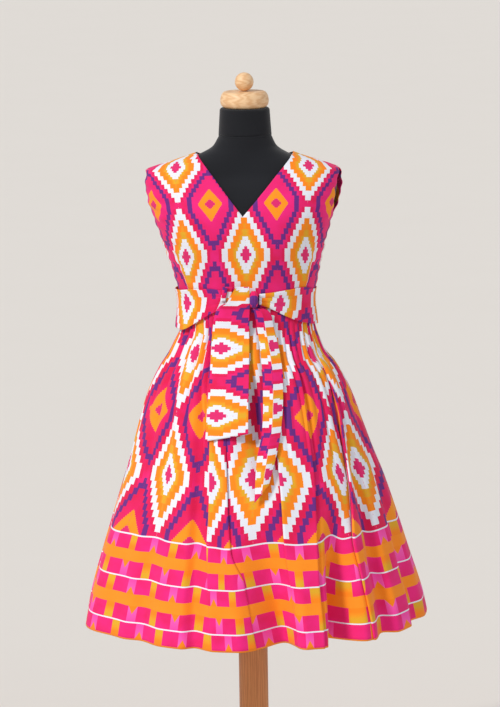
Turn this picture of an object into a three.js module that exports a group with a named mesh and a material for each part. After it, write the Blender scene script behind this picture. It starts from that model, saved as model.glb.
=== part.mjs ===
// A sleeveless printed dress with a tied sash, worn on a limbless dress form on a wood stand.
// Millimetres. +X is the viewer's right, the front faces -Y, +Z is up, and the origin is on the
// floor under the pole. Angles round the body are 0 at the centre front and 90 at the +X side.

import * as THREE from 'three';
import { mergeVertices } from 'three/addons/utils/BufferGeometryUtils.js';

// ---- driving dimensions ----

const WALL = 1.6; // thickness of every cloth piece
const SEAM_SHIFT = 0.2; // each panel stands this far off its side seam plane
const SEAM_REACH = 0.5; // an edge this near the plane of the side seams lies along them
const WAIST_SEAM = 1100; // height of the join between bodice and skirt
const WAIST_GAP = 1.0; // space between the bodice's lower edge and the skirt's upper edge
const HEM = 466;

const V_BOTTOM = 1285; // lowest point of the V neck
const BACK_NECK = 1380; // lowest point of the back neckline
const NECK_POINT = 1398; // where the neckline meets the shoulder seam
const NECK_HALF = 94;
const V_SHIFT = -7; // the V's lowest point is this far off the form's centre plane
const NECK_POINT_ANGLE = 5; // half the blunt width of a panel's tip at the neck point, in degrees
const UNDERARM = 1275;
const SHOULDER_TIP = 1365;
// How far each armhole cuts forward and backward from the side seam, in degrees. The dress is
// turned a little on its form, so they differ.
const ARMHOLE_REACH = { frontLeft: 5, backLeft: 25, frontRight: 18, backRight: 10 };

const FORM_EASE = 3.2; // the form is this much smaller than the bodice's inside
const FORM_DROP = 4.4; // and this much lower on the shoulder slope
const FORM_BOTTOM = 870;
const NECK_SEAM = 1435;
const NECK_TOP = 1487;
const NECK_RADIUS = 52.5; // at the seam
const NECK_TOP_RADIUS = 49.5;
const STACK_GAP = 0.3; // space between stacked pieces of the stand

const BUST = { x: 82, z: 1238, width: 62, height: 52, depth: 9 };

const CAP = { radius: 48, flatRadius: 38, height: 32 };
const BALL_RADIUS = 18.5;
const POLE_RADIUS = 29.5;
const BASE = { radius: 200, height: 28, edge: 10 };

// The bodice's inside: half width, and depth to the front and to the back. A section is an
// oval, squarer where its bluntness is below 1.
const FIGURE = table(['z', 'half', 'front', 'back', 'bluntness', 'centreX'], [
  [870, 146, 104, 108, 1, 0],
  [940, 150, 110, 114, 1, 0],
  [1004, 141, 104, 100, 1, 0],
  [1050, 131, 96, 89, 1, 0],
  [1100, 129, 94, 85, 1, 0],
  [1142, 139, 98, 86, 0.97, -1],
  [1183, 150, 104, 90, 0.93, -3],
  [1230, 163, 110, 95, 0.88, -5],
  [1275, 177, 112, 98, 0.84, -6],
  [1310, 187, 104, 97, 0.82, -7],
  [1340, 191, 88, 88, 0.82, -7],
  [1365, 190, 68, 72, 0.84, -6],
  [1371, 176, 66, 69, 0.85, -6],
  [1386, 131, 61, 63, 0.9, -4],
  [1400, 91, 57, 58, 0.97, -3],
  [1416, 64, 54, 54, 1, -1],
  [1435, 52.5, 52.5, 52.5, 1, 0],
]);

// The skirt's wall without its folds.
const SKIRT = table(['z', 'half', 'front', 'back', 'centreX'], [
  [1100, 129, 94, 85, 0],
  [1068, 130.5, 96, 87, 0],
  [1048, 133, 100, 91, 0],
  [1022, 143, 112, 106, -2],
  [1000, 153, 125, 119, -3],
  [971, 174, 147, 141, -1],
  [923, 199, 176, 169, 0],
  [858, 223, 207, 199, 1],
  [809, 239, 228, 219, 3],
  [744, 262, 252, 243, 6],
  [663, 288, 281, 270, 7],
  [598, 308, 303, 291, 7],
  [500, 337, 331, 318, 8],
  [466, 344, 338, 325, 8],
]);

// The surface that the two hanging ends of the sash follow, over the skirt's front.
const HANG = table(['z', 'half', 'front'], [
  [1150, 152, 112],
  [1128, 151, 110.5],
  [1110, 150, 109.5],
  [1098, 149, 106.5],
  [1060, 150, 107],
  [1022, 156, 122],
  [1000, 168, 135],
  [971, 188, 157],
  [923, 214, 186],
  [858, 238, 217],
  [744, 274, 262],
]);

// How the cloth's angle at the hem answers its angle at the waist, where it is gathered.
const GATHER_MAP = table(['hem', 'waist'], [
  [-90, -90],
  [-55, -60],
  [-19.5, -32],
  [-0.7, -20],
  [16, 20],
  [24, 37],
  [45, 60],
  [90, 90],
  [130, 126],
  [180, 180],
  [230, 234],
  [270, 270],
]);

// Valleys between the skirt's large folds, by their place at the hem. A valley is as deep as
// depth at the hem, and its bottom leans sideways under the neighbouring ridge. A depth below 0
// is a ridge.
const VALLEYS = [
  { centre: -90, halfWidth: 9, depth: 30, lean: 0, start: 0.3 },
  { centre: -68, halfWidth: 15, depth: -17, lean: 0, start: 0.3 },
  { centre: -42, halfWidth: 9, depth: 14, lean: -1, start: 0.2 },
  { centre: -20, halfWidth: 6, depth: 18, lean: -1.5, start: 0.1 },
  { centre: 5.5, halfWidth: 11.5, depth: 72, lean: 5.5, start: 0.58 },
  { centre: 31, halfWidth: 8, depth: 88, lean: -4, start: 0.58 },
  { centre: 48, halfWidth: 7, depth: 26, lean: 2, start: 0.12 },
  { centre: 70, halfWidth: 8, depth: 18, lean: -1, start: 0.25 },
  { centre: 110, halfWidth: 9, depth: 34, lean: 2, start: 0.15 },
  { centre: 134, halfWidth: 8, depth: 52, lean: -3, start: 0.08 },
  { centre: 160, halfWidth: 10, depth: 40, lean: 3, start: 0.1 },
  { centre: 186, halfWidth: 8, depth: 56, lean: -3, start: 0.08 },
  { centre: 210, halfWidth: 9, depth: 30, lean: 2, start: 0.15 },
  { centre: 233, halfWidth: 8, depth: 44, lean: 3, start: 0.1 },
  { centre: 250, halfWidth: 8, depth: 20, lean: -1, start: 0.2 },
  { centre: 270, halfWidth: 9, depth: 30, lean: 0, start: 0.3 },
];

const GATHERS = 18; // small gathers along the waist of each skirt panel
const COLUMNS_PER_GATHER = 4;
const GATHER_DEPTH = table(['drop', 'depth'], [
  [0, 1.2],
  [0.05, 1.4],
  [0.09, 2.6],
  [0.15, 4.2],
  [0.3, 4.0],
  [0.5, 2.0],
  [0.75, 0],
  [1, 0],
]);
const SKIRT_DROPS = [0, 0.055, 0.09, 0.135, 0.19, 0.26, 0.35, 0.46, 0.59, 0.73, 0.87, 1];

// Edges of the sash round the waist, by angle, and how far it stands off where it is loose.
const SASH_LEFT = table(['angle', 'bottom', 'top', 'loose'], [
  [-89.8, 1052, 1128, 5],
  [-67, 1051, 1131, 5],
  [-45, 1072, 1137, 1],
  [-31, 1090, 1139, 0],
  [-12, 1103, 1134, 0],
  [1, 1109, 1130, 0],
]);
const SASH_RIGHT = table(['angle', 'bottom', 'top', 'loose'], [
  [9.4, 1109, 1129, 0],
  [20, 1098, 1131, 0],
  [35, 1080, 1134, 0],
  [50, 1067, 1136, 0],
  [75, 1056, 1127, 0],
  [89.8, 1054, 1126, 0],
]);
const SASH_BACK = table(['angle', 'bottom', 'top', 'loose'], [
  [90.2, 1054, 1126, 0],
  [180, 1058, 1132, 0],
  [235, 1055, 1130, 1],
  [269.8, 1052, 1128, 5],
]);
const SASH_OUT = table(['z', 'out'], [
  [1050, 6.8],
  [1075, 5],
  [1100, 3.4],
  [1126, 1.45],
  [1140, 1.15],
]);
const SASH_PLEATS = { count: 3, depth: 1.6, reach: 60 }; // folds that run into the knot

// Left and right edge of each hanging end, from its top to its bottom.
const WIDE_END = [
  { leftZ: 1146, leftX: -22, rightZ: 1146, rightX: 3 },
  { leftZ: 1128, leftX: -34, rightZ: 1128, rightX: 4 },
  { leftZ: 1116, leftX: -40, rightZ: 1117, rightX: 4 },
  { leftZ: 1105, leftX: -57, rightZ: 1106, rightX: 4 },
  { leftZ: 1085, leftX: -66, rightZ: 1086, rightX: 3 },
  { leftZ: 1058, leftX: -70, rightZ: 1059, rightX: 2 },
  { leftZ: 1026, leftX: -73, rightZ: 1028, rightX: 2 },
  { leftZ: 996, leftX: -75, rightZ: 1000, rightX: 1 },
  { leftZ: 965, leftX: -78, rightZ: 971, rightX: 0 },
  { leftZ: 911, leftX: -83, rightZ: 921, rightX: -2 },
  { leftZ: 857, leftX: -87, rightZ: 872, rightX: -3 },
];
const NARROW_END = [
  { leftZ: 1102, leftX: 10, rightZ: 1102, rightX: 30 },
  { leftZ: 1092, leftX: 13, rightZ: 1092, rightX: 44 },
  { leftZ: 1060, leftX: 18, rightZ: 1060, rightX: 51 },
  { leftZ: 1031, leftX: 22, rightZ: 1031, rightX: 58 },
  { leftZ: 1000, leftX: 25, rightZ: 1000, rightX: 64 },
  { leftZ: 970, leftX: 27, rightZ: 970, rightX: 67 },
  { leftZ: 925, leftX: 27, rightZ: 928, rightX: 66 },
  { leftZ: 875, leftX: 24, rightZ: 885, rightX: 62 },
  { leftZ: 818, leftX: 12, rightZ: 846, rightX: 55 },
  { leftZ: 746, leftX: 7, rightZ: 776, rightX: 35 },
];
const NARROW_CREASE = 5; // height of the lengthwise fold of the narrow end

const KNOT = { x: 12, z: 1120, radiusX: 7.7, radiusY: 11, radiusZ: 17.5, gap: 0.4 };
const LOOP = { back: -34, fold: -53, front: -44, bottom: 1117, top: 1145, lean: 5, turn: 3, gap: 0.9 };

// ---- small tools ----

/** Rows with named columns, in the order of their first column. */
function table(names, rows) {
  return { names, rows: rows.toSorted((a, b) => a[0] - b[0]) };
}

/** Value of a table's column at a key in its first column, smooth and without overshoot. */
function at(tab, name, key) {
  const rows = tab.rows;
  const column = tab.names.indexOf(name);
  const last = rows.length - 1;
  if (key <= rows[0][0]) return rows[0][column];
  if (key >= rows[last][0]) return rows[last][column];
  const i = rows.findIndex((row) => row[0] > key) - 1;
  const slope = (k) => (rows[k + 1][column] - rows[k][column]) / (rows[k + 1][0] - rows[k][0]);
  const tangent = (k) => {
    if (k === 0) return slope(0);
    if (k === last) return slope(last - 1);
    const before = slope(k - 1);
    const after = slope(k);
    return before * after <= 0 ? 0 : (2 * before * after) / (before + after);
  };
  const width = rows[i + 1][0] - rows[i][0];
  const t = (key - rows[i][0]) / width;
  const bend = t * t * (3 - 2 * t);
  const rise = t * (1 - t) * ((1 - t) * tangent(i) - t * tangent(i + 1)) * width;
  return rows[i][column] * (1 - bend) + rows[i + 1][column] * bend + rise;
}

const lerp = THREE.MathUtils.lerp;
const radians = THREE.MathUtils.degToRad;
const degrees = THREE.MathUtils.radToDeg;

function stations(from, to, steps) {
  return Array.from({ length: steps + 1 }, (_, i) => lerp(from, to, i / steps));
}

/** A point on an oval section: the angle is 0 at the front, 90 at the +X side. */
function ovalPoint(angle, half, front, back, z, bluntness = 1, centreX = 0) {
  const a = radians(angle);
  const blunt = (v) => Math.sign(v) * Math.abs(v) ** bluntness;
  const depth = Math.cos(a) > 0 ? front : back;
  return new THREE.Vector3(centreX + half * blunt(Math.sin(a)), -depth * blunt(Math.cos(a)), z);
}

/**
 * A cloth wall from one or more grids of points, which join where their corners are equal.
 * The grids are the wall's inside, and each point moves out along its normal by the thickness.
 * Along the side seams it moves out in the plane of the seams.
 */
function clothWall(grids, thickness = WALL) {
  const points = [];
  const indexOf = new Map();
  const index = (p) => {
    const key = [p.x, p.y, p.z].map((v) => Math.round(v * 1e3)).join(',');
    if (!indexOf.has(key)) {
      indexOf.set(key, points.length);
      points.push(p);
    }
    return indexOf.get(key);
  };
  const triangles = [];
  for (const grid of grids) {
    const ids = grid.map((row) => row.map(index));
    for (let j = 0; j + 1 < ids.length; j++) {
      for (let i = 0; i + 1 < ids[j].length; i++) {
        const [a, b, c, d] = [ids[j][i], ids[j][i + 1], ids[j + 1][i + 1], ids[j + 1][i]];
        for (const t of [[a, b, c], [a, c, d]]) {
          if (new Set(t).size === 3) triangles.push(t);
        }
      }
    }
  }
  const normals = points.map(() => new THREE.Vector3());
  for (const [a, b, c] of triangles) {
    const side = points[b].clone().sub(points[a]);
    const face = side.cross(points[c].clone().sub(points[a]));
    for (const k of [a, b, c]) normals[k].add(face);
  }
  points.forEach((p, k) => {
    if (Math.abs(p.y) < SEAM_REACH) normals[k].y = 0;
  });
  const outer = points.map((p, k) => p.clone().addScaledVector(normals[k].normalize(), thickness));
  const n = points.length;
  const faces = triangles.flatMap(([a, b, c]) => [[a + n, b + n, c + n], [a, c, b]]);
  for (const [a, b] of openEdges(triangles)) faces.push([a, b, b + n], [a, b + n, a + n]);
  return solid([...points, ...outer], faces);
}

/** The edges that only one triangle has, in that triangle's direction. */
function openEdges(triangles) {
  const edges = new Map();
  for (const t of triangles) {
    for (let k = 0; k < 3; k++) {
      const [a, b] = [t[k], t[(k + 1) % 3]];
      if (edges.has(`${b},${a}`)) edges.delete(`${b},${a}`);
      else edges.set(`${a},${b}`, [a, b]);
    }
  }
  return [...edges.values()];
}

function solid(points, faces) {
  const geometry = new THREE.BufferGeometry();
  geometry.setAttribute('position', new THREE.Float32BufferAttribute(points.flatMap((p) => [...p]), 3));
  geometry.setIndex(faces.flat());
  return geometry;
}

/** A closed solid through rings of points from bottom to top, with a flat end on each. */
function loft(rings) {
  const count = rings[0].length;
  const points = rings.flat();
  const faces = [];
  for (let j = 0; j + 1 < rings.length; j++) {
    for (let i = 0; i < count; i++) {
      const next = (i + 1) % count;
      const [a, b, c, d] = [j * count + i, j * count + next, (j + 1) * count + next, (j + 1) * count + i];
      faces.push([a, b, c], [a, c, d]);
    }
  }
  for (const [ring, end] of [[rings[0], 0], [rings.at(-1), rings.length - 1]]) {
    const centre = new THREE.Vector3();
    for (const p of ring) centre.addScaledVector(p, 1 / count);
    points.push(centre);
    for (let i = 0; i < count; i++) {
      const [a, b] = [end * count + i, end * count + ((i + 1) % count)];
      faces.push(end === 0 ? [points.length - 1, b, a] : [points.length - 1, a, b]);
    }
  }
  return solid(points, faces);
}

/** A turned solid from [radius, z] pairs that start and end on the axis. */
function turned(profile, sides) {
  const outline = profile.map(([radius, z]) => new THREE.Vector2(radius, z));
  const geometry = new THREE.LatheGeometry(outline, sides);
  geometry.deleteAttribute('normal');
  geometry.deleteAttribute('uv');
  return mergeVertices(geometry.rotateX(Math.PI / 2), 1e-3);
}

function arc(centreRadius, centreZ, radius, fromAngle, toAngle, steps) {
  return stations(fromAngle, toAngle, steps).map((angle) => [
    centreRadius + radius * Math.cos(radians(angle)),
    centreZ + radius * Math.sin(radians(angle)),
  ]);
}

// ---- the figure under the bodice ----

/** Extra depth of the front over the bust, by the distance from the figure's centre. */
function bustDepth(x, z) {
  const dx = (Math.abs(x) - BUST.x) / BUST.width;
  const dz = (z - BUST.z) / BUST.height;
  return BUST.depth * Math.exp(-dx * dx - dz * dz);
}

/** A point of the bodice's inside, or of a surface that lies further out. */
function figurePoint(angle, z, out = 0, drop = 0) {
  const key = z + drop * THREE.MathUtils.smoothstep(z, UNDERARM, SHOULDER_TIP);
  const [half, front, back] = ['half', 'front', 'back'].map((name) => at(FIGURE, name, key) + out);
  const centreX = at(FIGURE, 'centreX', key);
  const point = ovalPoint(angle, half, front, back, z, at(FIGURE, 'bluntness', key), centreX);
  const facing = Math.max(0, Math.cos(radians(angle)));
  point.y -= bustDepth(point.x - centreX, z) * Math.sqrt(facing);
  return point;
}

// ---- bodice ----

/** The angle of the panel's outer edge: the side seam, the armhole, then the shoulder seam. */
function outerAngle(z, reach) {
  const t = (z - UNDERARM) / (SHOULDER_TIP - UNDERARM);
  const cut = t > 0 && t < 1 ? Math.sin(Math.PI * t) ** 0.55 : 0;
  return 90 - reach * cut;
}

/** The angle at which the figure's section is at a given x. */
function angleAt(x, z) {
  const fromCentre = x - at(FIGURE, 'centreX', z);
  const share = Math.min(1, Math.abs(fromCentre) / at(FIGURE, 'half', z));
  return Math.sign(fromCentre) * degrees(Math.asin(share ** (1 / at(FIGURE, 'bluntness', z))));
}

/** The angle of the V neck's edge on one side (1 or -1), straight as seen from the front. */
function frontNeckAngle(z, side) {
  const t = Math.max(0, (z - V_BOTTOM) / (NECK_POINT - V_BOTTOM));
  const x = lerp(V_SHIFT, side * NECK_HALF, t);
  return Math.min(90 - NECK_POINT_ANGLE, side * angleAt(x, z));
}

/** The angle of the shallow round back neckline on one side. */
function backNeckAngle(z, side) {
  if (z <= BACK_NECK) return 0;
  const t = (z - BACK_NECK) / (NECK_POINT - BACK_NECK);
  const x = NECK_HALF * Math.sqrt(1 - (1 - t) ** 2);
  return THREE.MathUtils.clamp(side * angleAt(side * x, z), 0, 90 - NECK_POINT_ANGLE);
}

function bodiceHeights() {
  const lower = stations(WAIST_SEAM + WAIST_GAP / 2, UNDERARM, 6);
  const armhole = [1279, V_BOTTOM, 1303, 1324, 1344, 1359, SHOULDER_TIP];
  const shoulder = [1372, BACK_NECK, 1387, 1394, NECK_POINT];
  return [...lower, ...armhole, ...shoulder];
}

/** Half a panel, from its centre line to the side seam, armhole and shoulder. */
function halfPanel(neckAngle, isFront, side, reach, columns = 8) {
  const rows = bodiceHeights().map((z) => {
    const angles = stations(neckAngle(z, side), outerAngle(z, reach), columns);
    return angles.map((angle) => {
      const point = figurePoint(side * (isFront ? angle : 180 - angle), z);
      point.y += isFront ? -SEAM_SHIFT : SEAM_SHIFT;
      return point;
    });
  });
  return isFront === side > 0 ? rows : rows.map((row) => row.reverse());
}

function bodiceFront() {
  const left = halfPanel(frontNeckAngle, true, -1, ARMHOLE_REACH.frontLeft);
  const right = halfPanel(frontNeckAngle, true, 1, ARMHOLE_REACH.frontRight);
  return clothWall([left, right]);
}

function bodiceBackHalf(side, reach) {
  const grid = halfPanel(backNeckAngle, false, side, reach);
  for (const point of grid.flat()) point.x += side * SEAM_SHIFT;
  return clothWall([grid]);
}

// ---- skirt ----

/** A point of the skirt's inside, by its angle at the hem, its drop from 0 to 1, and its gather. */
function skirtPoint(hemAngle, drop, gather) {
  const z = lerp(WAIST_SEAM - WAIST_GAP / 2, HEM, drop);
  const settled = drop ** 0.7;
  let angle = lerp(at(GATHER_MAP, 'waist', hemAngle), hemAngle, settled);
  let out = at(GATHER_DEPTH, 'depth', drop) * gather;
  for (const valley of VALLEYS) {
    const d = (hemAngle - valley.centre) / valley.halfWidth;
    if (Math.abs(d) >= 1) continue;
    const grown = THREE.MathUtils.smoothstep(drop, valley.start, 1.1) ** 0.7;
    const shape = Math.cos((Math.PI * d) / 2) ** 2 * grown;
    out -= valley.depth * shape;
    angle += valley.lean * shape;
  }
  const [half, front, back, centreX] = SKIRT.names.slice(1).map((name) => at(SKIRT, name, z));
  return ovalPoint(angle, half + out, front + out, back + out, z, 1, centreX);
}

/** Angles that divide the hem between two side seams into lengths of equal cloth. */
function evenHemAngles(from, to, count) {
  const samples = stations(from, to, 720);
  const lengths = [0];
  for (let i = 1; i < samples.length; i++) {
    const step = skirtPoint(samples[i], 1, 0).distanceTo(skirtPoint(samples[i - 1], 1, 0));
    lengths.push(lengths[i - 1] + step);
  }
  const total = lengths.at(-1);
  return stations(0, 1, count).map((share) => {
    const i = Math.max(1, lengths.findIndex((length) => length >= share * total - 1e-6));
    const t = (share * total - lengths[i - 1]) / (lengths[i] - lengths[i - 1]);
    return lerp(samples[i - 1], samples[i], t);
  });
}

function skirtPanel(from, to, shift) {
  const columns = GATHERS * COLUMNS_PER_GATHER;
  const angles = evenHemAngles(from, to, columns);
  const rows = SKIRT_DROPS.toReversed().map((drop) => angles.map((angle, i) => {
    const gather = Math.cos((2 * Math.PI * i) / COLUMNS_PER_GATHER);
    const point = skirtPoint(angle, drop, gather);
    point.y += shift;
    return point;
  }));
  return clothWall([rows]);
}

// ---- sash ----

/** A stretch of the sash round the waist. Its folds deepen towards the knot. */
function sashStretch(edges, columns, isPleated) {
  const first = edges.rows[0][0];
  const last = edges.rows.at(-1)[0];
  const rows = 8;
  const grid = stations(0, 1, rows).map((v) => stations(first, last, columns).map((angle) => {
    const z = lerp(at(edges, 'bottom', angle), at(edges, 'top', angle), v);
    const near = Math.max(0, 1 - Math.abs(angle - 5) / SASH_PLEATS.reach);
    const wave = (1 - Math.cos(2 * Math.PI * SASH_PLEATS.count * v)) / 2;
    const pleat = isPleated ? SASH_PLEATS.depth * near * wave : 0;
    return figurePoint(angle, z, WALL + at(SASH_OUT, 'out', z) + at(edges, 'loose', angle) + pleat);
  }));
  return clothWall([grid]);
}

/** A hanging end of the sash. Its crease stands out along the middle. */
function hangingEnd(outline, columns, crease) {
  const grid = outline.toReversed().map((edge) => stations(0, 1, columns).map((u) => {
    const x = lerp(edge.leftX, edge.rightX, u);
    const z = lerp(edge.leftZ, edge.rightZ, u);
    const sine = x / at(HANG, 'half', z);
    const raised = crease * (1 - Math.abs(2 * u - 1));
    return new THREE.Vector3(x, -at(HANG, 'front', z) * Math.sqrt(1 - sine * sine) - raised, z);
  }));
  return clothWall([grid]);
}

function sashKnot() {
  const back = figurePoint(angleAt(KNOT.x, KNOT.z), KNOT.z, WALL);
  const ball = new THREE.SphereGeometry(1, 14, 10);
  ball.deleteAttribute('normal');
  ball.deleteAttribute('uv');
  ball.rotateX(Math.PI / 2);
  ball.scale(KNOT.radiusX, KNOT.radiusY, KNOT.radiusZ);
  ball.translate(KNOT.x, back.y - KNOT.gap - KNOT.radiusY, KNOT.z);
  return mergeVertices(ball, 1e-3);
}

/** The turned-over corner beside the knot: a back layer, a round turn and a front layer. */
function sashLoop() {
  const heights = stations(LOOP.bottom, LOOP.top, 4);
  const grid = heights.map((z) => {
    const shift = (LOOP.lean * (z - LOOP.bottom)) / (LOOP.top - LOOP.bottom);
    const sashY = (x) => {
      const out = 2 * WALL + at(SASH_OUT, 'out', z) + SASH_PLEATS.depth;
      return figurePoint(angleAt(x, z), z, out).y;
    };
    const turnX = LOOP.fold + LOOP.turn;
    const backY = sashY(LOOP.fold) - LOOP.gap - WALL;
    const backLayer = stations(LOOP.back, turnX, 3).map((x) => [x, backY - (sashY(LOOP.fold) - sashY(x))]);
    const turn = stations(90, 270, 6).slice(1, -1).map((angle) => [
      turnX + LOOP.turn * Math.cos(radians(angle)),
      backY - LOOP.turn + LOOP.turn * Math.sin(radians(angle)),
    ]);
    const frontLayer = stations(turnX, LOOP.front, 2).map((x) => [x, backY - 2 * LOOP.turn]);
    return [...backLayer, ...turn, ...frontLayer].map(([x, y]) => new THREE.Vector3(x + shift, y, z));
  });
  return clothWall([grid]);
}

// ---- dress form and stand ----

function formTorso() {
  const heights = [FORM_BOTTOM, 905, 940, 975, 1005, 1030, 1060, 1100, 1130, 1156, 1183, 1207, 1230,
    1252, 1275, 1296, 1318, 1340, 1356, 1364, 1372, 1384, 1396, 1408, NECK_SEAM];
  const rings = heights.map((z) => stations(0, 360, 36).slice(0, -1).map((angle) => {
    const ease = FORM_EASE * (1 - THREE.MathUtils.smoothstep(z, SHOULDER_TIP, NECK_SEAM));
    return figurePoint(angle, z, -ease, FORM_DROP);
  }));
  return loft(rings);
}

function formNeck() {
  const bottom = NECK_SEAM + STACK_GAP;
  const edge = 5;
  return turned([[0, bottom], [NECK_RADIUS, bottom],
    ...arc(NECK_TOP_RADIUS - edge, NECK_TOP - edge, edge, 0, 90, 3), [0, NECK_TOP]], 32);
}

function neckCap() {
  const bottom = NECK_TOP + STACK_GAP;
  const bulge = CAP.radius - CAP.flatRadius;
  const middle = bottom + CAP.height * 0.4;
  const side = stations(-90, 90, 6).map((angle) => {
    const height = angle < 0 ? middle - bottom : bottom + CAP.height - middle;
    return [CAP.flatRadius + bulge * Math.cos(radians(angle)), middle + height * Math.sin(radians(angle))];
  });
  return turned([[0, bottom], ...side, [0, bottom + CAP.height]], 32);
}

function finialBall() {
  const centre = NECK_TOP + CAP.height + 2 * STACK_GAP + BALL_RADIUS;
  const profile = arc(0, centre, BALL_RADIUS, -90, 90, 10);
  profile[0][0] = 0;
  profile.at(-1)[0] = 0;
  return turned(profile, 20);
}

function standPole() {
  const [bottom, top] = [BASE.height + STACK_GAP, FORM_BOTTOM - STACK_GAP];
  return turned([[0, bottom], [POLE_RADIUS, bottom], [POLE_RADIUS, top], [0, top]], 32);
}

function standBase() {
  const { radius, height, edge } = BASE;
  return turned([[0, 0], [radius, 0], ...arc(radius - edge, height - edge, edge, 0, 90, 3), [0, height]], 40);
}

// ---- the part ----

const material = (color, roughness) => new THREE.MeshStandardMaterial({ color, roughness, metalness: 0 });
const printedCotton = () => material(0xe8337c, 0.85);
const blackJersey = () => material(0x26272b, 0.95);
const paleWood = () => material(0xd6a877, 0.5);
const turnedWood = () => material(0xa96232, 0.45);

const part = new THREE.Group();
const pieces = [
  ['bodice_front', bodiceFront(), printedCotton()],
  ['bodice_back_left', bodiceBackHalf(-1, ARMHOLE_REACH.backLeft), printedCotton()],
  ['bodice_back_right', bodiceBackHalf(1, ARMHOLE_REACH.backRight), printedCotton()],
  ['skirt_front', skirtPanel(-90, 90, -SEAM_SHIFT), printedCotton()],
  ['skirt_back', skirtPanel(90, 270, SEAM_SHIFT), printedCotton()],
  ['sash_left', sashStretch(SASH_LEFT, 18, true), printedCotton()],
  ['sash_right', sashStretch(SASH_RIGHT, 16, true), printedCotton()],
  ['sash_back', sashStretch(SASH_BACK, 24, false), printedCotton()],
  ['sash_knot', sashKnot(), printedCotton()],
  ['sash_loop', sashLoop(), printedCotton()],
  ['sash_tail_wide', hangingEnd(WIDE_END, 6, 0), printedCotton()],
  ['sash_tail_narrow', hangingEnd(NARROW_END, 4, NARROW_CREASE), printedCotton()],
  ['form_torso', formTorso(), blackJersey()],
  ['form_neck', formNeck(), blackJersey()],
  ['neck_cap', neckCap(), paleWood()],
  ['finial_ball', finialBall(), paleWood()],
  ['stand_pole', standPole(), turnedWood()],
  ['stand_base', standBase(), turnedWood()],
];
for (const [name, geometry, look] of pieces) {
  const mesh = new THREE.Mesh(geometry, look);
  mesh.name = name;
  part.add(mesh);
}

export default part;
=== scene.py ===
"""A sleeveless printed dress with a tied sash, worn on a limbless dress form on a wood stand.

The scene is in metres, and the sizes below are in millimetres. +X is the viewer's right, the
front faces -Y, +Z is up. Angles round the body are 0 at the centre front and 90 at the +X side.
A drop is 0 at the waist seam and 1 at the hem. Heights, sections and large folds repeat the
solids' own.
"""
import math
from functools import partialmethod

import bpy
import numpy as np
from mathutils import Matrix, Vector


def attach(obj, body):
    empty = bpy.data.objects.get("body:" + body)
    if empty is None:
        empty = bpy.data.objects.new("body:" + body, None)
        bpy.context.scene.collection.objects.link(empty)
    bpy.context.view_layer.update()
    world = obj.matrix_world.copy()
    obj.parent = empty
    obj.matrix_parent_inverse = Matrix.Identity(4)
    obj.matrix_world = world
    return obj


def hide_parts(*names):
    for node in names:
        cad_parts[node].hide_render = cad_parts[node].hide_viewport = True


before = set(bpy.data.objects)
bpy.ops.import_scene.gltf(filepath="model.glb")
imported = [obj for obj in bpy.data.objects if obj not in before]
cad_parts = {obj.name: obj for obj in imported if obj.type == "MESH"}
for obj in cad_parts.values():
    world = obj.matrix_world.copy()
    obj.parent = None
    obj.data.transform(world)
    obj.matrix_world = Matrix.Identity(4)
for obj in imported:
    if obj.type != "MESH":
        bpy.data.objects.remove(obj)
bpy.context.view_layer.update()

bl_info = {
    "name": "Kente print dress",
    "version": (1, 0, 0),
    "blender": (4, 5, 0),
    "location": "3D View > Sidebar > Dress",
    "description": "Printed cloth, dress form, stand and studio for the dress",
    "category": "Object",
}

MM = 0.001

# ---- sizes, in millimetres and degrees as the pattern maker notes them ----

WALL = 1.6
WAIST_SEAM, WAIST_GAP, HEM = 1100, 1.0, 466
V_BOTTOM, BACK_NECK, NECK_POINT, NECK_HALF, V_SHIFT = 1285, 1380, 1398, 94, -7
NECK_POINT_ANGLE, UNDERARM, SHOULDER_TIP = 5, 1275, 1365
ARMHOLE_REACH = {"front_left": 5, "back_left": 25, "front_right": 18, "back_right": 10}
SEAM_SHIFT = 0.2
# How far the right armhole's back edge stands off, and the angle over which that dies away.
ARMHOLE_GAPE, GAPE_REACH = 9, 12
# The waist darts. The cloth is what each one takes up at the waist.
DART = {"angle": 58.5, "top": 1262, "half_width": 1.6, "depth": 1.5, "cloth": 46}
# The print's waver beyond a dart, where the cloth puckers.
PUCKER = {"cloth": 1.6, "rise": 3.4, "start": 60, "full": 72}
FORM_EASE, FORM_DROP, FORM_BOTTOM = 3.2, 4.4, 870
NECK_SEAM, NECK_TOP, STACK_GAP = 1435, 1487, 0.3
NECK_RADIUS, NECK_TOP_RADIUS = 52.5, 49.5
BUST = {"x": 82, "z": 1238, "width": 62, "height": 52, "depth": 9}
CAP = {"radius": 48, "flat": 38, "height": 32}
BALL_RADIUS, POLE_RADIUS = 18.5, 29.5
BASE = {"radius": 200, "height": 28, "edge": 10}


def table(names, rows):
    """Columns by name, in the order of the first one."""
    return dict(zip(names.split(), np.array(sorted(rows), float).T))


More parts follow.
